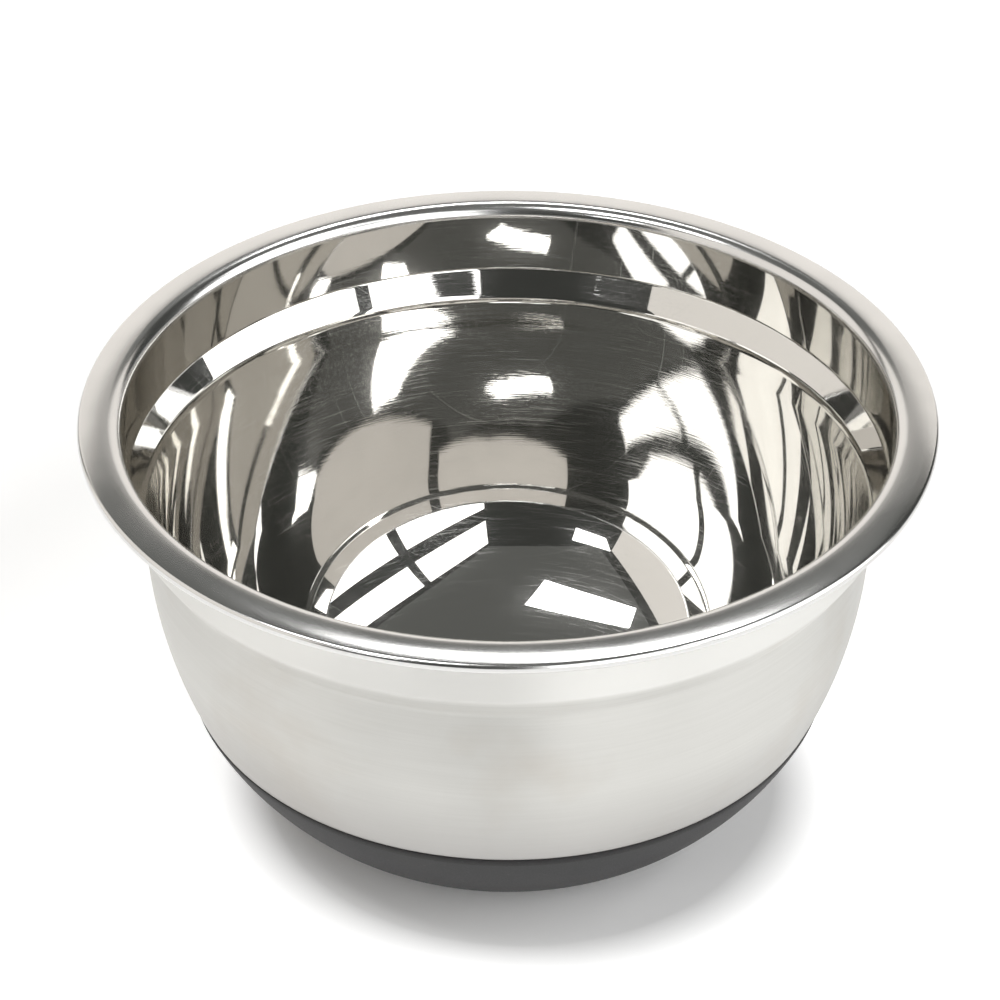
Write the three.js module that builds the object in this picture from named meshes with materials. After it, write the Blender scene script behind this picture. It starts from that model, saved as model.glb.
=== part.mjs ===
// Stainless steel mixing bowl with a bonded non-slip silicone base.
// Millimetres, +Z up. The bowl stands on the XY plane and its axis is Z.
import * as THREE from "three";

// Overall sizes
const rimDiameter = 230; // over the rolled edge of the rim
const bowlHeight = 125; // from the standing face to the top of the rim
const sheetThickness = 0.8; // drawn stainless sheet

// Rim: a slightly domed flange that falls outwards and ends in an edge rolled back under it
const rollRadius = 1.5; // outside of the rolled edge
const hemLength = 2.2; // straight of the edge turned back under the flange
const domeRadius = 24; // of the flange, on the middle of the sheet
const flangeFall = 14; // degrees below level where the flange runs into the roll
const flangeDip = 1; // degrees below level where it runs into the mouth
const mouthBend = 3.4; // outside radius of the bend from the flange into the bowl

// Wall, on the middle of the sheet: an upright band, a step inwards, a short taper and three arcs
const bandDepth = 21.2; // from the top of the rim down to the step
const stepDrop = 8.2; // height of the step
const stepInset = 6.2; // how far the step brings the wall in
const stepTopBend = 2;
const stepFootBend = 6;
const wallTaper = 0.8; // degrees from upright
const shoulderRadius = 130.8;
const shoulderSlope = 69.5; // degrees from level where the shoulder runs into the dish
const dishRadius = 73.5;
const dishSlope = 26; // degrees from level where the dish runs into the bottom corner
const cornerRadius = 15;

// Silicone base
const baseHeight = 41; // height of its lip on the wall
const lipThickness = 0.12; // at the very edge
const lipBevel = 1.4; // height of the bevel below the edge
const skirtThickness = 0.3; // below the bevel
const soleThickness = 1.8; // under the flat
const standingRing = 10; // width of the ring that it stands on
const recessDepth = 0.8; // hollow inside that ring
const recessDraft = 0.8; // width of the hollow's sloping side

// Adhesive between the steel and the silicone
const bondThickness = 0.15;
const bondClearance = 0.05; // on each side of the adhesive
const bondSetback = 1.5; // height by which it stays below the lip

// Facets
const turns = 60; // round the axis
const bendStep = 24; // degrees in one facet of a tight bend
const sweepStep = 9; // degrees in one facet of a wide arc

const degree = Math.PI / 180;
const cos = (angle) => Math.cos(angle * degree);
const sin = (angle) => Math.sin(angle * degree);
const tan = (angle) => Math.tan(angle * degree);

// Distances from the middle of the sheet, outwards and down
const steelFace = sheetThickness / 2;
const bondInside = steelFace + bondClearance;
const bondOutside = bondInside + bondThickness;
const siliconeInside = bondOutside + bondClearance;

// A pen that draws the middle of the sheet in the plane of radius and height, one station per facet edge.
// Headings are in degrees: 0 runs outwards and 90 runs up. A positive bend turns left.
class SheetPath {
  constructor(r, z, heading) {
    this.r = r;
    this.z = z;
    this.heading = heading;
    this.stations = [];
    this.mark();
  }

  mark() {
    this.stations.push({ r: this.r, z: this.z, heading: this.heading });
  }

  straight(length) {
    this.r += length * cos(this.heading);
    this.z += length * sin(this.heading);
    this.mark();
  }

  bend(radius, angle, facet) {
    const steps = Math.ceil(Math.abs(angle) / facet);
    const start = this.heading;
    const side = Math.sign(angle);
    const centreR = this.r - side * radius * sin(start);
    const centreZ = this.z + side * radius * cos(start);
    for (let step = 1; step <= steps; step += 1) {
      this.heading = start + (angle * step) / steps;
      this.r = centreR + side * radius * sin(this.heading);
      this.z = centreZ - side * radius * cos(this.heading);
      this.mark();
    }
  }
}

// Walks the whole sheet, from the free end of the hem over the rim and down the wall to the axis.
function drawSheet() {
  const rollMiddle = rollRadius - steelFace;
  const mouthMiddle = mouthBend - steelFace;
  const outwards = -flangeFall;
  const inwards = 180 - flangeFall;
  const intoMouth = 180 + flangeDip;
  const widest = 90; // heading where the roll is widest
  const highest = 180; // heading where the rim is highest
  const downwards = 270;

  // The roll fixes the rim's radius and the top of the dome fixes its height.
  const flangeOuterZ = bowlHeight - steelFace - domeRadius * (1 - cos(flangeFall));
  const flangeOuterR = rimDiameter / 2 - rollRadius + rollMiddle * sin(flangeFall);
  const hemStartR = flangeOuterR - 2 * rollMiddle * sin(flangeFall) - hemLength * cos(flangeFall);
  const hemStartZ = flangeOuterZ - 2 * rollMiddle * cos(flangeFall) + hemLength * sin(flangeFall);

  const stepHeading = 180 + Math.atan2(stepDrop, stepInset) / degree;
  const taperHeading = downwards - wallTaper;
  const topTurn = downwards - stepHeading;
  const footTurn = taperHeading - stepHeading;
  const topTangent = stepTopBend * tan(topTurn / 2);
  const footTangent = stepFootBend * tan(footTurn / 2);

  const taperSlope = 90 - wallTaper;
  const flatZ = soleThickness + siliconeInside;
  const shoulderHeight = shoulderRadius * (cos(shoulderSlope) - cos(taperSlope));
  const dishHeight = dishRadius * (cos(dishSlope) - cos(shoulderSlope));
  const cornerHeight = cornerRadius * (1 - cos(dishSlope));
  const taperEndZ = flatZ + cornerHeight + dishHeight + shoulderHeight;

  const pen = new SheetPath(hemStartR, hemStartZ, outwards);
  pen.straight(hemLength);
  pen.bend(rollMiddle, widest - outwards, bendStep);
  pen.bend(rollMiddle, inwards - widest, bendStep);
  pen.bend(domeRadius, highest - inwards, sweepStep);
  pen.bend(domeRadius, intoMouth - highest, sweepStep);
  pen.bend(mouthMiddle, downwards - intoMouth, bendStep);
  pen.straight(pen.z - (bowlHeight - bandDepth) - topTangent);
  pen.bend(stepTopBend, -topTurn, bendStep);
  pen.straight(Math.hypot(stepDrop, stepInset) - topTangent - footTangent);
  pen.bend(stepFootBend, footTurn, bendStep);
  pen.straight((pen.z - taperEndZ) / cos(wallTaper));
  const wallStart = pen.stations.length - 1;
  pen.bend(shoulderRadius, shoulderSlope - taperSlope, sweepStep);
  pen.bend(dishRadius, dishSlope - shoulderSlope, sweepStep);
  pen.bend(cornerRadius, -dishSlope, bendStep);
  const flatRadius = pen.r;
  pen.straight(flatRadius);
  return { stations: pen.stations, wallStart, flatRadius };
}

const sheet = drawSheet();

// The stations of the wall below a height, with one placed at that height.
function wallBelow(height) {
  const wall = sheet.stations.slice(sheet.wallStart - 1);
  const next = wall.findIndex((station) => station.z <= height);
  const above = wall[next - 1];
  const below = wall[next];
  const share = (above.z - height) / (above.z - below.z);
  const between = (key) => above[key] + share * (below[key] - above[key]);
  return [{ r: between("r"), z: height, heading: between("heading") }, ...wall.slice(next)];
}

// A station moved by a distance to the outside of the bowl.
function aside(station, distance) {
  const r = station.r - distance * sin(station.heading);
  const z = station.z + distance * cos(station.heading);
  return new THREE.Vector2(r, z);
}

// Turns a closed profile, drawn with its solid on the left, round the Z axis.
function revolve(name, profile, material) {
  const geometry = new THREE.LatheGeometry(profile, turns);
  geometry.rotateX(Math.PI / 2);
  const mesh = new THREE.Mesh(geometry, material);
  mesh.name = name;
  return mesh;
}

// One drawn sheet of even thickness, from the bottom to the hem.
function bowlShell() {
  const outside = sheet.stations.map((station) => aside(station, steelFace)).reverse();
  const inside = sheet.stations.map((station) => aside(station, -steelFace));
  const steel = new THREE.MeshStandardMaterial({ color: 0xc9c7c2, roughness: 0.25, metalness: 1 });
  return revolve("bowl_shell", [...outside, ...inside], steel);
}

// A film that follows the steel from the middle of the bottom to just below the silicone's lip.
function bondLayer() {
  const stations = wallBelow(baseHeight - bondSetback);
  const outside = stations.map((station) => aside(station, bondOutside)).reverse();
  const inside = stations.map((station) => aside(station, bondInside));
  const adhesive = new THREE.MeshStandardMaterial({ color: 0xd9d8d2, roughness: 0.6, metalness: 0 });
  return revolve("bond_layer", [...outside, ...inside], adhesive);
}

// A cup with a bevelled lip, thicker towards its sole, standing on a ring round a shallow hollow.
function siliconeBase() {
  const lip = wallBelow(baseHeight);
  const skirt = wallBelow(baseHeight - lipBevel);
  const flatZ = sheet.stations.at(-1).z;
  const skirtTop = skirt[0].z;
  const thicknessAt = (z) => {
    const share = (skirtTop - z) / (skirtTop - flatZ);
    return skirtThickness + share * share * (soleThickness - skirtThickness);
  };
  const inside = lip.map((station) => aside(station, siliconeInside));
  const outerFace = (station) => aside(station, siliconeInside + thicknessAt(station.z));
  const outside = skirt.slice(0, -1).map(outerFace);
  const edge = aside(lip[0], siliconeInside + lipThickness);
  const recessRadius = sheet.flatRadius - standingRing;
  const underside = [
    new THREE.Vector2(0, recessDepth),
    new THREE.Vector2(recessRadius - recessDraft, recessDepth),
    new THREE.Vector2(recessRadius, 0),
  ];
  const silicone = new THREE.MeshStandardMaterial({ color: 0x35353a, roughness: 0.75, metalness: 0 });
  return revolve("silicone_base", [...underside, ...outside.reverse(), edge, ...inside], silicone);
}

const bowl = new THREE.Group();
bowl.add(bowlShell(), bondLayer(), siliconeBase());

export default bowl;
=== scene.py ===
"""Looks of a stainless steel mixing bowl with a bonded non-slip silicone base.

Metres, +Z up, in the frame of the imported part: the bowl stands on the XY plane and its axis is Z.
Angles are in degrees.
"""
import math
from collections import namedtuple

import bpy
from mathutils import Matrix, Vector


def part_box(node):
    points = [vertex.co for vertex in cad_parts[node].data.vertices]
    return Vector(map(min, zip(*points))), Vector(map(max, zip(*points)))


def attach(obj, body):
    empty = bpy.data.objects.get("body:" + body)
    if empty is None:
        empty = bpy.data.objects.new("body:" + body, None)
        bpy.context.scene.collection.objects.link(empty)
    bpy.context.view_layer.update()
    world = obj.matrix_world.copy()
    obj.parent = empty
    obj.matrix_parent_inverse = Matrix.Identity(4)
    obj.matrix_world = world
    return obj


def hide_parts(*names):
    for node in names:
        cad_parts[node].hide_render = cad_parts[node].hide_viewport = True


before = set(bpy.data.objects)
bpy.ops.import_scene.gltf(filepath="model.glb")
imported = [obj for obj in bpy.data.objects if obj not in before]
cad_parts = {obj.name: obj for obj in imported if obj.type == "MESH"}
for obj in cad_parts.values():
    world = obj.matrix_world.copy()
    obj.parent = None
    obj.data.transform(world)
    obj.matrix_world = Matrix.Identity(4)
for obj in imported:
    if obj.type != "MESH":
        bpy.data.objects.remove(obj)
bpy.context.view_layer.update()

MM = 0.001

# Sizes that the frame gives
SHELL_LOW, SHELL_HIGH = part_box("bowl_shell")
_, BASE_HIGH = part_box("silicone_base")
RIM_RADIUS = SHELL_HIGH[0]
BOWL_HEIGHT = SHELL_HIGH[2]
FLAT_UNDERSIDE = SHELL_LOW[2]
LIP_HEIGHT = BASE_HIGH[2]

# Sheet, rim and wall: the mouth, the band and the step are fitted more finely than in the solids
SHEET = 0.8 * MM
ROLL_RADIUS = 1.5 * MM
HEM_LENGTH = 2.2 * MM
DOME_RADIUS = 24 * MM
FLANGE_FALL = 14
FLANGE_DIP = 2.4
MOUTH_BEND = 3.8 * MM
BAND_DEPTH = 20.9 * MM
BAND_DRAFT = 1.2
STEP_DROP = 7.6 * MM
STEP_INSET = 4.85 * MM
STEP_TOP_BEND = 2 * MM
STEP_FOOT_BEND = 5 * MM
WALL_TAPER = 0.8
SHOULDER_RADIUS = 130.8 * MM
SHOULDER_SLOPE = 69.5
DISH_RADIUS = 73.5 * MM
DISH_SLOPE = 26
CORNER_RADIUS = 15 * MM

# Silicone base and the adhesive behind it
LIP_EDGE = 0.06 * MM
LIP_GAP = 0.02 * MM
LIP_BAND = 2.3 * MM
SKIRT = 0.3 * MM
SOLE = 1.8 * MM
STANDING_RING = 10 * MM
RECESS_DEPTH = 0.8 * MM
RECESS_DRAFT = 0.8 * MM
SOLE_FILLET = 0.35 * MM
BOND = 0.15 * MM
BOND_GAP = 0.05 * MM
BOND_SETBACK = 1.5 * MM

# Fineness of the turned meshes
TURNS = 288
BEND_STEP = 5
SWEEP_STEP = 1
END_STEPS = 6
LIP_STEPS = 10
FILLET_STEPS = 5
SHARP_CORNER = 20
FILLET_SHARE = 0.4
ON_AXIS = 1e-7

# Steel shades, and the heights between which a finish, a painted shade or a painted light comes or goes
MIRROR_LIGHT = (0.70, 0.69, 0.665)
MIRROR_DARK = (0.665, 0.655, 0.63)
SATIN_LIGHT = (0.73, 0.725, 0.715)
SATIN_DARK = (0.69, 0.685, 0.675)
BRUSHED_LIGHT = (0.635, 0.63, 0.605)
BRUSHED_DARK = (0.575, 0.57, 0.545)
BRUSHED_MARK = (0.53, 0.5, 0.455)
# Painted shade: the foot of the outside is coloured darker, where a shadowed floor would be mirrored
BRUSHED_FOOT_PAINTED_SHADE = (0.38, 0.37, 0.36)
# Painted light: the band under the rim is coloured lighter, as if it mirrored a brighter floor
BRUSHED_BAND_PAINTED_LIGHT = (0.74, 0.735, 0.71)
WEAR_HEIGHTS = (30 * MM, 70 * MM)
PAINTED_SHADE_HEIGHTS = (40 * MM, 68 * MM)
PAINTED_LIGHT_HEIGHTS = (101.5 * MM, 104.5 * MM)

# Silicone and adhesive shades
FACE_DARK = (0.042, 0.042, 0.043)
FACE_LIGHT = (0.05, 0.05, 0.05)
LIP_DARK = (0.014, 0.013, 0.014)
LIP_LIGHT = (0.018, 0.017, 0.017)
DUST = (0.2, 0.2, 0.19)
ADHESIVE_DARK = (0.66, 0.65, 0.60)
ADHESIVE_LIGHT = (0.74, 0.73, 0.69)

# Studio floor, and where it keeps the bowl's shadow
SWEEP_RADIUS = 5.0
SWEEP_RISE = 0.7
SWEEP_CURVE = 0.5
SWEEP_STEPS = 12
FLOOR_RING = 0.5
PAPER_DARK = (0.95, 0.95, 0.95)
PAPER_LIGHT = (0.97, 0.97, 0.97)
SHADOW_CENTRE = (4 * MM, -5 * MM, 0)
SHADOW_FADE = (72 * MM, 86 * MM)
LIFT_FADE = (86 * MM, 200 * MM)
NEAR_LIFT = 0.5
FAR_LIFT_SHARE = 0.36

# Lamps: places are shares of the lamp height
LAMP_HEIGHT = 2.8
CEILING_LEVEL = 1.02
NEUTRAL = (1, 1, 1)
WARM = (1, 0.96, 0.91)
DIM = (0.98, 1, 0.95)
NEAR_PLAN = [(-0.632, -0.009), (-0.086, -0.273), (-0.223, -0.509), (-0.768, -0.168)]
FAR_PLAN = [(-0.882, -0.85), (-0.564, -1.04), (-0.691, -1.28), (-0.95, -1.077)]
BACK_PLAN = [(-0.07, 0.74), (0.36, 0.51), (0.27, 0.36), (-0.19, 0.57)]
CEILING_PLAN = [(-0.85, 1.25), (0.5, 1.25), (0.72, 0.0), (0.15, -0.95), (-0.8, -0.95)]
LEFT_FACING = 180
LEFT_DISTANCE = 0.9
LEFT_SPAN = (-0.75, 0.86)
LEFT_RISE = (0.05, 1)
BACK_FACING = 90
BACK_DISTANCE = 1.45
BACK_FACE = [(-1.11, 0.05), (1.38, 0.05), (1.38, 1.285), (0.3, 1.0), (-0.3, 1.0), (-1.11, 1.09)]
RIGHT_FACING = -33
RIGHT_DISTANCE = 0.666
RIGHT_STRENGTH = 3
RIGHT_SPANS = {"near": (-0.74, -0.14), "far": (-0.085, 0.67)}
RIGHT_RISES = {"upper": (0.7, 1.01), "lower": (0.1, 0.567)}
SURROUND = (0.052, 0.054, 0.05)

# Camera, from the middle of the rim, with its focal length as a share of the sensor's width
VIEW_LEVEL = 122.66 * MM
VIEW_DISTANCE = 924.7 * MM
VIEW_ELEVATION = 33.44
VIEW_PITCH = 34.96
VIEW_SIDE = -2.14 * MM
FOCAL_SHARE = 3.4507
SENSOR = 36
MIRROR_BOUNCES = 32

# Faces of the layers and radii of the bends, at the middle of the sheet
STEEL_FACE = SHEET / 2
BOND_INSIDE = STEEL_FACE + BOND_GAP
BOND_OUTSIDE = BOND_INSIDE + BOND
SILICONE_INSIDE = BOND_OUTSIDE + BOND_GAP
ROLL_MIDDLE = ROLL_RADIUS - STEEL_FACE
MOUTH_MIDDLE = MOUTH_BEND - STEEL_FACE
FLAT_MIDDLE = FLAT_UNDERSIDE + STEEL_FACE


def cosd(angle):
    return math.cos(math.radians(angle))


def sind(angle):
    return math.sin(math.radians(angle))


class Station:
    """A point of a profile: radius, height, heading and length walked so far."""

    def __init__(self, r, z, heading, along):
        self.r = r
        self.z = z
        self.heading = heading
        self.along = along

    def aside(self, distance):
        """This station moved to the outside of the bowl."""
        r = max(self.r - distance * sind(self.heading), 0)
        return Station(r, self.z + distance * cosd(self.heading), self.heading, self.along)


def part_way(above, below, share):
    """The station at a share of the way from one station to the next."""

    def between(a, b):
        return a + share * (b - a)

    return Station(
        between(above.r, below.r),
        between(above.z, below.z),
        between(above.heading, below.heading),
        between(above.along, below.along),
    )


class SheetPath:
    """A pen that draws the middle of the sheet.

    Heading 0 runs outwards and 90 up, and a positive bend turns left.
    """

    def __init__(self, r, z, heading):
        self.here = Station(r, z, heading, 0)
        self.stations = [self.here]

    def mark(self, r, z, heading, step):
        self.here = Station(r, z, heading, self.here.along + step)
        self.stations.append(self.here)

    def straight(self, length):
        heading = self.here.heading
        r = self.here.r + length * cosd(heading)
        z = self.here.z + length * sind(heading)
        self.mark(r, z, heading, length)

    def bend(self, radius, angle, facet):
        steps = math.ceil(abs(angle) / facet)
        side = math.copysign(1, angle)
        start = self.here.heading
        centre_r = self.here.r - side * radius * sind(start)
        centre_z = self.here.z + side * radius * cosd(start)
        for step in range(1, steps + 1):
            heading = start + angle * step / steps
            r = centre_r + side * radius * sind(heading)
            z = centre_z - side * radius * cosd(heading)
            self.mark(r, z, heading, radius * math.radians(abs(angle)) / steps)

    def last(self):
        return len(self.stations) - 1


def draw_sheet():
    """The middle of the sheet from the hem's free end to the axis, and where hem, rim and taper end."""
    outwards = -FLANGE_FALL
    inwards = 180 - FLANGE_FALL
    into_mouth = 180 + FLANGE_DIP
    flange_outer_z = BOWL_HEIGHT - STEEL_FACE - DOME_RADIUS * (1 - cosd(FLANGE_FALL))
    flange_outer_r = RIM_RADIUS - ROLL_RADIUS + ROLL_MIDDLE * sind(FLANGE_FALL)
    hem_r = flange_outer_r - 2 * ROLL_MIDDLE * sind(FLANGE_FALL) - HEM_LENGTH * cosd(FLANGE_FALL)
    hem_z = flange_outer_z - 2 * ROLL_MIDDLE * cosd(FLANGE_FALL) + HEM_LENGTH * sind(FLANGE_FALL)
    step_heading = 180 + math.degrees(math.atan2(STEP_DROP, STEP_INSET))
    band_heading = 270 - BAND_DRAFT
    taper_heading = 270 - WALL_TAPER
    top_turn = band_heading - step_heading
    foot_turn = taper_heading - step_heading
    top_tangent = STEP_TOP_BEND * math.tan(math.radians(top_turn / 2))
    foot_tangent = STEP_FOOT_BEND * math.tan(math.radians(foot_turn / 2))
    taper_slope = 90 - WALL_TAPER
    shoulder_height = SHOULDER_RADIUS * (cosd(SHOULDER_SLOPE) - cosd(taper_slope))
    dish_height = DISH_RADIUS * (cosd(DISH_SLOPE) - cosd(SHOULDER_SLOPE))
    corner_height = CORNER_RADIUS * (1 - cosd(DISH_SLOPE))
    taper_end_z = FLAT_MIDDLE + corner_height + dish_height + shoulder_height

    pen = SheetPath(hem_r, hem_z, outwards)
    pen.straight(HEM_LENGTH)
    hem_end = pen.last()
    pen.bend(ROLL_MIDDLE, 90 - outwards, BEND_STEP)
    pen.bend(ROLL_MIDDLE, inwards - 90, BEND_STEP)
    pen.bend(DOME_RADIUS, 180 - inwards, SWEEP_STEP)
    pen.bend(DOME_RADIUS, into_mouth - 180, SWEEP_STEP)
    pen.bend(MOUTH_MIDDLE, band_heading - into_mouth, BEND_STEP)
    rim_end = pen.last()
    pen.straight((pen.here.z - (BOWL_HEIGHT - BAND_DEPTH)) / cosd(BAND_DRAFT) - top_tangent)
    pen.bend(STEP_TOP_BEND, -top_turn, BEND_STEP)
    pen.straight(math.hypot(STEP_DROP, STEP_INSET) - top_tangent - foot_tangent)
    pen.bend(STEP_FOOT_BEND, foot_turn, BEND_STEP)
    pen.straight((pen.here.z - taper_end_z) / cosd(WALL_TAPER))
    taper_end = pen.last()
    pen.bend(SHOULDER_RADIUS, SHOULDER_SLOPE - taper_slope, SWEEP_STEP)
    pen.bend(DISH_RADIUS, DISH_SLOPE - SHOULDER_SLOPE, SWEEP_STEP)
    pen.bend(CORNER_RADIUS, -DISH_SLOPE, BEND_STEP)
    pen.straight(pen.here.r)
    return pen.stations, hem_end, rim_end, taper_end


SHEET_STATIONS, HEM_END, RIM_END, TAPER_END = draw_sheet()
FLAT_RADIUS = SHEET_STATIONS[-2].r


def wall_below(height):
    """The stations of the wall below a height, with one placed at that height."""
    wall = SHEET_STATIONS[TAPER_END - 1:]
    after = next(i for i, station in enumerate(wall) if station.z <= height)
    above = wall[after - 1]
    below = wall[after]
    share = (above.z - height) / (above.z - below.z)
    return [part_way(above, below, share)] + wall[after:]


def along_wall(stations, length):
    """The station at a length along the wall, between two that were drawn."""
    after = next(i for i, station in enumerate(stations) if station.along >= length)
    below = stations[after]
    above = stations[max(after - 1, 0)]
    gap = below.along - above.along
    share = (length - above.along) / gap if gap else 0
    return part_way(above, below, share)


def rounded_corners(corners):
    """The course through the corners, with a short curve in place of each sharp one."""
    path = [corners[0]]
    for before, here, after in zip(corners, corners[1:], corners[2:]):
        enter = math.atan2(here[1] - before[1], here[0] - before[0])
        leave = math.atan2(after[1] - here[1], after[0] - here[0])
        swing = math.degrees(math.remainder(leave - enter, 2 * math.pi))
        if abs(swing) < SHARP_CORNER:
            path.append(here)
            continue
        cut = min(SOLE_FILLET, FILLET_SHARE * math.dist(before, here), FILLET_SHARE * math.dist(here, after))
        first = (here[0] - math.cos(enter) * cut, here[1] - math.sin(enter) * cut)
        last = (here[0] + math.cos(leave) * cut, here[1] + math.sin(leave) * cut)
        for step in range(FILLET_STEPS + 1):
            t = step / FILLET_STEPS
            a = (1 - t) ** 2
            b = 2 * t * (1 - t)
            c = t * t
            r = a * first[0] + b * here[0] + c * last[0]
            z = a * first[1] + b * here[1] + c * last[1]
            path.append((r, z))
    path.append(corners[-1])
    return path


ProfilePoint = namedtuple("ProfilePoint", "r z normal along material")


class Section:
    """A profile to turn round the axis, with a normal and a material number at every point."""

    def __init__(self):
        self.points = []

    def add(self, r, z, normal, along, material=0):
        self.points.append(ProfilePoint(r, z, normal, along, material))

    def face(self, stations, outwards, material=0):
        """Adds one face of the sheet, with normals to the outside of the bowl or to its inside."""
        side = 1 if outwards else -1
        for station in stations:
            normal = (-side * sind(station.heading), side * cosd(station.heading))
            self.add(station.r, station.z, normal, station.along, material)

    def arc(self, centre, radius, start, end, steps, along, material=0):
        """Adds the points of an arc between its ends, with normals away from its centre."""
        for step in range(1, steps):
            angle = start + (end - start) * step / steps
            normal = (cosd(angle), sind(angle))
            self.add(centre[0] + radius * normal[0], centre[1] + radius * normal[1], normal, along, material)

    def course(self, path):
        """Adds a path of radii and heights, with normals to the left of its course."""
        length = 0
        for i, here in enumerate(path):
            before = path[max(i - 1, 0)]
            after = path[min(i + 1, len(path) - 1)]
            length += math.dist(before, here)
            heading = math.atan2(after[1] - before[1], after[0] - before[0])
            self.add(max(here[0], 0), here[1], (-math.sin(heading), math.cos(heading)), length)


def turn(name, section, materials):
    """Turns a section into a mesh with the normals that the section gives.

    Its outside is on the left. A section that starts and ends on the axis gives a closed mesh.
    """
    vertices = []
    normals = []
    along = []
    rings = []
    for point in section.points:
        out, up = point.normal
        count = 1 if point.r < ON_AXIS else TURNS
        rings.append((len(vertices), count))
        for step in range(count):
            angle = 2 * math.pi * step / TURNS
            c = math.cos(angle)
            s = math.sin(angle)
            vertices.append((point.r * c, point.r * s, point.z))
            normals.append((out * c, out * s, up) if count > 1 else (0, 0, math.copysign(1, up)))
            along.append(point.along)
    faces = []
    numbers = []
    for i in range(len(rings) - 1):
        low, low_count = rings[i]
        high, high_count = rings[i + 1]
        for step in range(TURNS):
            after = (step + 1) % TURNS
            if low_count == 1:
                faces.append((low, high + step, high + after))
            elif high_count == 1:
                faces.append((low + step, high, low + after))
            else:
                faces.append((low + step, high + step, high + after, low + after))
            numbers.append(section.points[i].material)
    mesh = bpy.data.meshes.new(name)
    mesh.from_pydata(vertices, [], faces)
    for material in materials:
        mesh.materials.append(material)
    mesh.polygons.foreach_set("material_index", numbers)
    mesh.polygons.foreach_set("use_smooth", [True] * len(faces))
    mesh.attributes.new("along", "FLOAT", "POINT").data.foreach_set("value", along)
    mesh.update()
    mesh.normals_split_custom_set_from_vertices(normals)
    piece = bpy.data.objects.new(name, mesh)
    bpy.context.scene.collection.objects.link(piece)
    return piece


class Shader:
    """A material's node tree, with one call to add a node and set or link its inputs."""

    def __init__(self, name):
        self.material = bpy.data.materials.new(name)
        self.material.use_nodes = True
        self.tree = self.material.node_tree
        self.tree.nodes.clear()

    def node(self, kind, inputs=None, **settings):
        made = self.tree.nodes.new(kind)
        for key, value in settings.items():
            setattr(made, key, value)
        for key, value in (inputs or {}).items():
            if isinstance(value, bpy.types.NodeSocket):
                self.tree.links.new(value, made.inputs[key])
            else:
                made.inputs[key].default_value = value
        return made

    def finish(self, surface):
        self.node("ShaderNodeOutputMaterial", {"Surface": surface})
        return self.material

    def principled(self, **inputs):
        """A surface, by its inputs with underscores for spaces."""
        named = {key.replace("_", " "): value for key, value in inputs.items()}
        return self.node("ShaderNodeBsdfPrincipled", named).outputs[0]

    def place(self):
        return self.node("ShaderNodeTexCoord").outputs["Object"]

    def height(self):
        return self.node("ShaderNodeSeparateXYZ", {0: self.place()}).outputs["Z"]

    def along_grain(self, round_scale, across_scale):
        """Coordinates that change slowly round the bowl and fast along its profile, for lines round it."""
        scale = (round_scale, round_scale, 0)
        level = self.node("ShaderNodeVectorMath", {0: self.place(), 1: scale}, operation="MULTIPLY")
        along = self.node("ShaderNodeAttribute", attribute_name="along").outputs["Fac"]
        lift = self.node("ShaderNodeCombineXYZ", {"Z": self.times(along, across_scale)})
        return self.node("ShaderNodeVectorMath", {0: level.outputs[0], 1: lift.outputs[0]}).outputs[0]

    def noise(self, vector, scale, detail, roughness=0.5):
        """Noise with about that many waves to each unit of the coordinates."""
        inputs = {"Vector": vector, "Scale": scale, "Detail": detail, "Roughness": roughness}
        return self.node("ShaderNodeTexNoise", inputs).outputs["Fac"]

    def ranged(self, value, low, high, to_low=0, to_high=1):
        """A value between low and high, spread over another range and held at its ends."""
        inputs = {"Value": value, "From Min": low, "From Max": high, "To Min": to_low, "To Max": to_high}
        return self.node("ShaderNodeMapRange", inputs).outputs["Result"]

    def combine(self, operation, a, b):
        return self.node("ShaderNodeMath", {0: a, 1: b}, operation=operation).outputs[0]

    def times(self, a, b):
        return self.combine("MULTIPLY", a, b)

    def plus(self, a, b):
        return self.combine("ADD", a, b)

    def larger(self, a, b):
        return self.combine("MAXIMUM", a, b)

    def mix(self, factor, a, b):
        """Colour a, going over to colour b as the factor grows."""
        node = self.node("ShaderNodeMix", {"Factor": factor}, data_type="RGBA")
        for socket, value in ((node.inputs[6], a), (node.inputs[7], b)):
            if isinstance(value, bpy.types.NodeSocket):
                self.tree.links.new(value, socket)
            else:
                socket.default_value = (*value, 1)
        return node.outputs[2]

    def bump(self, height, distance, strength, normal=None):
        inputs = {"Height": height, "Distance": distance, "Strength": strength}
        if normal is not None:
            inputs["Normal"] = normal
        return self.node("ShaderNodeBump", inputs).outputs["Normal"]

    def scratches(self, turned, length_scale, width_scale, low, high):
        """Long thin marks in one direction, as seen from above."""
        rotation = (0, 0, math.radians(turned))
        scale = (length_scale, width_scale, 1)
        inputs = {"Vector": self.place(), "Rotation": rotation, "Scale": scale}
        mapped = self.node("ShaderNodeMapping", inputs).outputs[0]
        return self.ranged(self.noise(mapped, 1, 2), low, high)


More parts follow.
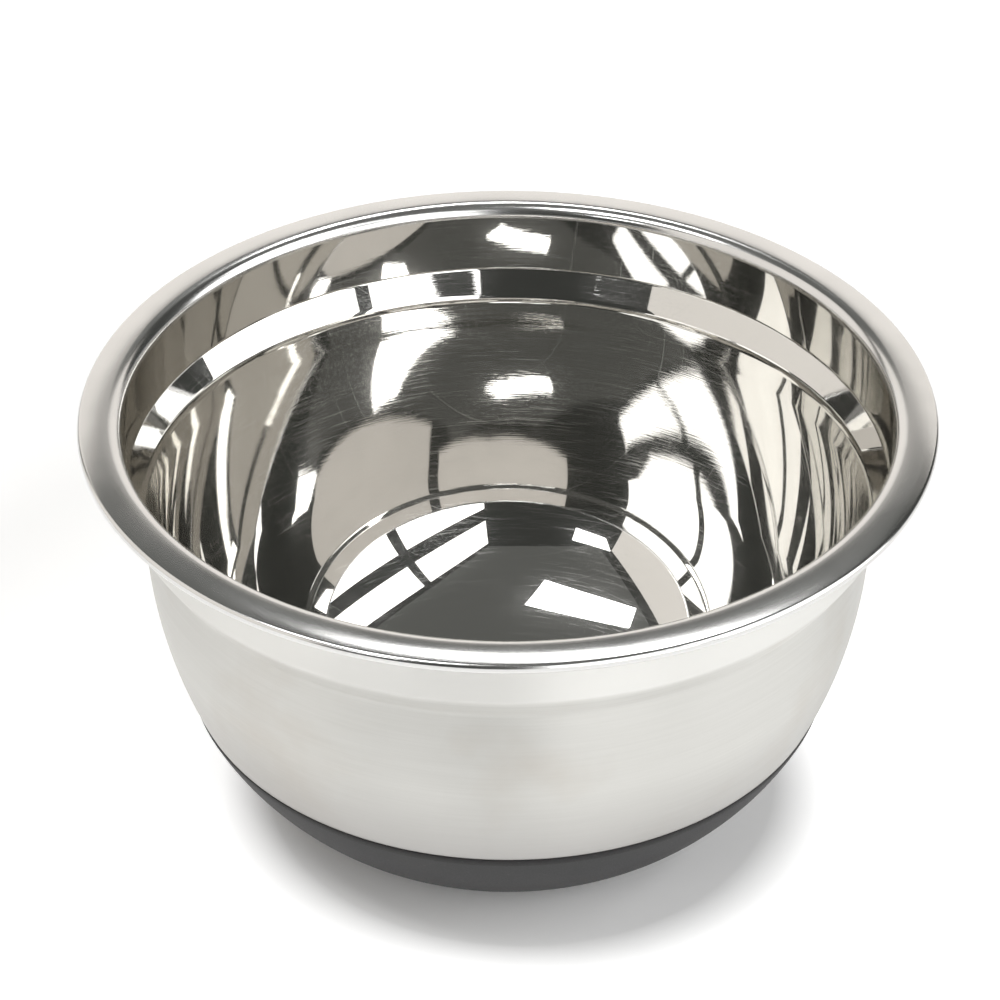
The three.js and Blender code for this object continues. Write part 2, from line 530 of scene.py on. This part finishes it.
def polished_steel():
    """Inside of the bowl: a mirror with fine lines round it, worn in patches on the upper wall."""
    s = Shader("polished_steel")
    clouds = s.noise(s.place(), 28, 4)
    colour = s.mix(s.ranged(clouds, 0.35, 0.75), MIRROR_LIGHT, MIRROR_DARK)

    # Slight waves of the drawn wall, and frayed polishing on its worn patches
    upper = s.ranged(s.height(), *WEAR_HEIGHTS, 0.06, 1)
    patches = s.ranged(s.noise(s.place(), 17, 2), 0.4, 0.62, 0.08, 1)
    frays = s.noise(s.along_grain(60, 2300), 1, 3, 0.6)
    waves = s.bump(s.noise(s.place(), 22, 1), 0.015 * MM, 0.3)
    normal = s.bump(s.times(frays, s.times(upper, patches)), 0.006 * MM, 1, waves)

    # Lines, strokes, scratches, specks and a thin veil that blur the mirror
    fine = s.ranged(s.noise(s.along_grain(16, 3800), 1, 3, 0.65), 0.45, 0.75)
    strokes = s.ranged(s.noise(s.along_grain(70, 3300), 1, 2), 0.6, 0.67)
    lined = s.plus(s.times(fine, 0.07), s.times(s.times(strokes, patches), 0.34))
    marks = s.larger(s.scratches(24, 14, 2600, 0.66, 0.72), s.scratches(-38, 18, 2900, 0.67, 0.73))
    specks = s.ranged(s.noise(s.place(), 1300, 2), 0.52, 0.68)
    dusty = s.times(specks, s.ranged(s.noise(s.place(), 26, 2), 0.5, 0.64, 0, 0.2))
    veil = s.plus(dusty, s.ranged(clouds, 0.3, 0.7, 0.015, 0.035))
    haze = s.plus(lined, s.plus(s.times(marks, 0.25), veil))

    sharp = s.ranged(clouds, 0.3, 0.7, 0.012, 0.026)
    blurred = s.ranged(clouds, 0.3, 0.7, 0.16, 0.26)
    mirror = s.principled(Base_Color=colour, Metallic=1, Roughness=sharp, Normal=normal)
    scatter = s.principled(Base_Color=colour, Metallic=1, Roughness=blurred, Normal=normal)
    return s.finish(s.node("ShaderNodeMixShader", {0: haze, 1: mirror, 2: scatter}).outputs[0])


def satin_steel():
    """Rim: a softer polish, with lines that run round it."""
    s = Shader("satin_steel")
    lines = s.noise(s.along_grain(20, 4200), 1, 3, 0.6)
    clouds = s.noise(s.place(), 40, 3)
    colour = s.mix(s.ranged(clouds, 0.35, 0.75), SATIN_LIGHT, SATIN_DARK)
    roughness = s.plus(s.ranged(clouds, 0.3, 0.7, 0.13, 0.18), s.times(lines, 0.06))
    normal = s.bump(lines, 0.006 * MM, 0.3)
    return s.finish(s.principled(Base_Color=colour, Metallic=1, Roughness=roughness, Normal=normal))


def brushed_steel():
    """Outside: brushed round the bowl, painted light on the band under the rim, painted shade at its foot,
    marks.
    """
    s = Shader("brushed_steel")
    fine = s.noise(s.along_grain(36, 5200), 1, 4, 0.65)
    strokes = s.noise(s.along_grain(34, 1250), 1, 3, 0.6)
    clouds = s.noise(s.place(), 16, 5, 0.6)
    uneven = s.plus(s.times(fine, 0.06), s.times(strokes, 0.08))
    roughness = s.plus(uneven, s.ranged(clouds, 0.3, 0.7, 0.24, 0.32))
    normal = s.bump(s.plus(fine, strokes), 0.008 * MM, 0.35)

    smudge = s.ranged(s.noise(s.place(), 21, 4, 0.55), 0.54, 0.7)
    height = s.height()
    # Painted shade: the colour darkens towards the foot of the outside
    painted_shade = s.ranged(height, *PAINTED_SHADE_HEIGHTS, 0.72, 0)
    # Painted light: the band under the rim is lightened, with a sharp edge at the crease
    painted_band_light = s.ranged(height, *PAINTED_LIGHT_HEIGHTS)
    body = s.mix(strokes, BRUSHED_LIGHT, BRUSHED_DARK)
    marked = s.mix(s.times(smudge, 0.5), body, BRUSHED_MARK)
    foot = s.mix(painted_shade, marked, BRUSHED_FOOT_PAINTED_SHADE)
    colour = s.mix(painted_band_light, foot, BRUSHED_BAND_PAINTED_LIGHT)

    tangent = s.node("ShaderNodeTangent", direction_type="RADIAL", axis="Z").outputs[0]
    surface = s.principled(
        Base_Color=colour,
        Metallic=1,
        Roughness=roughness,
        Normal=normal,
        Anisotropic=0.9,
        Anisotropic_Rotation=0.25,
        Tangent=tangent,
    )
    return s.finish(surface)


def dark_silicone(name, dark, light, smooth, matte):
    """Moulded silicone: dark grey with a fine skin, a little dust and slight shade differences."""
    s = Shader(name)
    skin = s.noise(s.place(), 2600, 3, 0.6)
    clouds = s.noise(s.place(), 45, 4)
    dust = s.ranged(s.noise(s.place(), 900, 2), 0.66, 0.74)
    shade = s.mix(s.ranged(clouds, 0.3, 0.7), dark, light)
    colour = s.mix(s.times(dust, 0.12), shade, DUST)
    roughness = s.ranged(skin, 0.3, 0.7, smooth, matte)
    normal = s.bump(skin, 0.02 * MM, 0.35)
    surface = s.principled(Base_Color=colour, Roughness=roughness, Normal=normal, Specular_IOR_Level=0.2)
    return s.finish(surface)


def cured_adhesive():
    """Film behind the silicone: pale, slightly mottled, with trowel waves."""
    s = Shader("cured_adhesive")
    mottle = s.noise(s.place(), 120, 4)
    colour = s.mix(s.ranged(mottle, 0.3, 0.7), ADHESIVE_DARK, ADHESIVE_LIGHT)
    roughness = s.ranged(mottle, 0.3, 0.7, 0.45, 0.65)
    normal = s.bump(mottle, 0.05 * MM, 0.4)
    return s.finish(s.principled(Base_Color=colour, Roughness=roughness, Normal=normal))


def make_shell():
    """The drawn bowl as one sheet: polished inside, satin over the rim and brushed outside."""
    polished, satin, brushed = range(3)
    inside = [station.aside(-STEEL_FACE) for station in SHEET_STATIONS]
    outside = [station.aside(STEEL_FACE) for station in SHEET_STATIONS]
    end = SHEET_STATIONS[0]
    section = Section()
    section.face(reversed(inside[RIM_END + 1:]), False, polished)
    section.face(reversed(inside[HEM_END + 1:RIM_END + 1]), False, satin)
    section.face(reversed(inside[:HEM_END + 1]), False, brushed)
    start = end.heading + 270
    section.arc((end.r, end.z), STEEL_FACE, start, start - 180, END_STEPS, end.along, brushed)
    section.face(outside, True, brushed)
    return turn("steel_bowl", section, [polished_steel(), satin_steel(), brushed_steel()])


def make_base():
    """The silicone cup: a lip that closes on the steel, a skirt that thickens downwards, and a sole."""
    face, edge = range(2)
    lip = wall_below(LIP_HEIGHT)
    top = lip[0].along
    lip_inside = STEEL_FACE + LIP_GAP
    lip_outside = lip_inside + LIP_EDGE

    def inner_face(station):
        share = min((station.along - top) / BOND_SETBACK, 1)
        return lip_inside + (SILICONE_INSIDE - lip_inside) * share

    def outer_face(station):
        sunk = (LIP_HEIGHT - station.z) / (LIP_HEIGHT - FLAT_MIDDLE)
        grown = SILICONE_INSIDE + SKIRT + (SOLE - SKIRT) * sunk * sunk
        rise = 1 - min((station.along - top) / LIP_BAND, 1)
        return lip_outside + (grown - lip_outside) * math.sqrt(1 - rise * rise)

    band = []
    for step in range(LIP_STEPS):
        share = 1 - math.cos(math.pi / 2 * step / LIP_STEPS)
        band.append(along_wall(lip, top + LIP_BAND * share))
    below = [station for station in lip if station.along >= top + LIP_BAND]
    skirt = [station.aside(outer_face(station)) for station in band + below[:-1]]
    skirt = [station for station in skirt if station.z > SOLE_FILLET]
    inner = [station.aside(inner_face(station)) for station in band + below]

    recess = FLAT_RADIUS - STANDING_RING
    underside = [(FLAT_RADIUS, 0), (recess, 0), (recess - RECESS_DRAFT, RECESS_DEPTH), (0, RECESS_DEPTH)]
    walls = [(station.r, station.z) for station in inner[::-1] + skirt]
    band_foot = skirt[LIP_STEPS].z
    section = Section()
    section.course(rounded_corners(walls + underside))
    for i, point in enumerate(section.points):
        section.points[i] = point._replace(material=edge if point.z > band_foot else face)
    face_skin = dark_silicone("dark_silicone", FACE_DARK, FACE_LIGHT, smooth=0.55, matte=0.7)
    edge_skin = dark_silicone("silicone_lip", LIP_DARK, LIP_LIGHT, smooth=0.45, matte=0.6)
    return turn("silicone_foot", section, [face_skin, edge_skin])


def make_film():
    """The adhesive film, from the middle of the bottom to just below the silicone's lip."""
    stations = wall_below(LIP_HEIGHT - BOND_SETBACK)
    inner = [station.aside(BOND_INSIDE) for station in reversed(stations)]
    outer = [station.aside(BOND_OUTSIDE) for station in stations]
    section = Section()
    section.face(inner, False)
    section.face(outer, True)
    return turn("adhesive_film", section, [cured_adhesive()])


for piece, node, slot in (
    (make_shell(), "bowl_shell", "steel"),
    (make_base(), "silicone_base", "silicone"),
    (make_film(), "bond_layer", "adhesive"),
):
    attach(piece, "root")
    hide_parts(node)


def white_paper():
    """White sweep that keeps the bowl's shadow and is lifted to white beyond it."""
    s = Shader("white_sweep")
    colour = s.mix(s.noise(s.place(), 300, 3), PAPER_DARK, PAPER_LIGHT)
    diffuse = s.node("ShaderNodeBsdfDiffuse", {"Color": colour}).outputs[0]
    offset = {0: s.place(), 1: SHADOW_CENTRE}
    aside = s.node("ShaderNodeVectorMath", offset, operation="DISTANCE").outputs["Value"]
    rise = s.ranged(aside, *SHADOW_FADE, 0, NEAR_LIFT)
    fall = s.ranged(aside, *LIFT_FADE, 1, FAR_LIFT_SHARE)
    path = s.node("ShaderNodeLightPath").outputs
    mirrored = s.larger(path["Is Glossy Ray"], path["Is Transmission Ray"])
    seen = s.larger(path["Is Camera Ray"], mirrored)
    lift = s.node("ShaderNodeEmission", {"Strength": s.times(seen, s.times(rise, fall))}).outputs[0]
    return s.finish(s.node("ShaderNodeAddShader", {0: diffuse, 1: lift}).outputs[0])


def white_sweep():
    """A level white floor that turns up into a low wall, shaded as if it were level all over."""
    profile = [(0, 0), (FLOOR_RING, 0), (SWEEP_RADIUS - SWEEP_CURVE, 0)]
    for step in range(1, SWEEP_STEPS + 1):
        angle = 90 * step / SWEEP_STEPS
        r = SWEEP_RADIUS - SWEEP_CURVE + SWEEP_CURVE * sind(angle)
        profile.append((r, SWEEP_CURVE * (1 - cosd(angle))))
    profile.append((SWEEP_RADIUS, SWEEP_RISE))
    section = Section()
    for r, z in profile:
        section.add(r, z, (0, 1), 0)
    sweep = turn("white_sweep", section, [white_paper()])


def lamp(name, corners, colour, strength):
    """A flat lamp that lights the bowl and shows in the steel, and that the camera doesn't see."""
    s = Shader(name)
    glow = s.node("ShaderNodeEmission", {"Color": (*colour, 1), "Strength": strength}).outputs[0]
    mesh = bpy.data.meshes.new(name)
    mesh.from_pydata(corners, [], [tuple(range(len(corners)))])
    mesh.materials.append(s.finish(glow))
    flat = bpy.data.objects.new(name, mesh)
    bpy.context.scene.collection.objects.link(flat)
    flat.visible_camera = False


def overhead(name, plan, colour, strength, level=1):
    """A level lamp, by the plan of its corners and its level."""
    corners = [(x * LAMP_HEIGHT, y * LAMP_HEIGHT, level * LAMP_HEIGHT) for x, y in plan]
    lamp(name, corners, colour, strength)


def upright(name, facing, distance, face, colour, strength):
    """An upright lamp: its direction from +X, its distance, and its corners sideways and up."""
    out = (cosd(facing), sind(facing))
    across = (-out[1], out[0])
    corners = []
    for sideways, height in face:
        x = distance * out[0] + sideways * across[0]
        y = distance * out[1] + sideways * across[1]
        corners.append((x * LAMP_HEIGHT, y * LAMP_HEIGHT, height * LAMP_HEIGHT))
    lamp(name, corners, colour, strength)


def pane(span, rise):
    """The corners of an oblong face, by its reach sideways and upwards."""
    return [(span[0], rise[0]), (span[1], rise[0]), (span[1], rise[1]), (span[0], rise[1])]


# Studio: a white sweep under and round the bowl, and flat lamps that the steel mirrors
white_sweep()
overhead("overhead_near", NEAR_PLAN, NEUTRAL, strength=8)
overhead("overhead_far", FAR_PLAN, NEUTRAL, strength=6)
overhead("overhead_back", BACK_PLAN, NEUTRAL, strength=8)
for row, rise in RIGHT_RISES.items():
    for side, span in RIGHT_SPANS.items():
        face = pane(span, rise)
        upright(f"right_{row}_{side}", RIGHT_FACING, RIGHT_DISTANCE, face, NEUTRAL, RIGHT_STRENGTH)
upright("left_wall", LEFT_FACING, LEFT_DISTANCE, pane(LEFT_SPAN, LEFT_RISE), WARM, strength=1)
upright("back_wall", BACK_FACING, BACK_DISTANCE, BACK_FACE, WARM, strength=1.08)
overhead("dim_ceiling", CEILING_PLAN, DIM, strength=0.14, level=CEILING_LEVEL)

world = bpy.data.worlds.new("studio")
world.use_nodes = True
background = world.node_tree.nodes["Background"]
background.inputs["Color"].default_value = (*SURROUND, 1)
background.inputs["Strength"].default_value = 1
bpy.context.scene.world = world

# Camera at the photograph's viewing angle
camera_data = bpy.data.cameras.new("camera")
camera_data.sensor_fit = "HORIZONTAL"
camera_data.sensor_width = SENSOR
camera_data.lens = SENSOR * FOCAL_SHARE
camera = bpy.data.objects.new("camera", camera_data)
camera.location = (
    VIEW_SIDE,
    -VIEW_DISTANCE * cosd(VIEW_ELEVATION),
    VIEW_LEVEL + VIEW_DISTANCE * sind(VIEW_ELEVATION),
)
camera.rotation_euler = (math.radians(90 - VIEW_PITCH), 0, 0)
bpy.context.scene.collection.objects.link(camera)
bpy.context.scene.camera = camera
bpy.context.scene.view_settings.view_transform = "Standard"
bpy.context.scene.cycles.max_bounces = MIRROR_BOUNCES
bpy.context.scene.cycles.glossy_bounces = MIRROR_BOUNCES
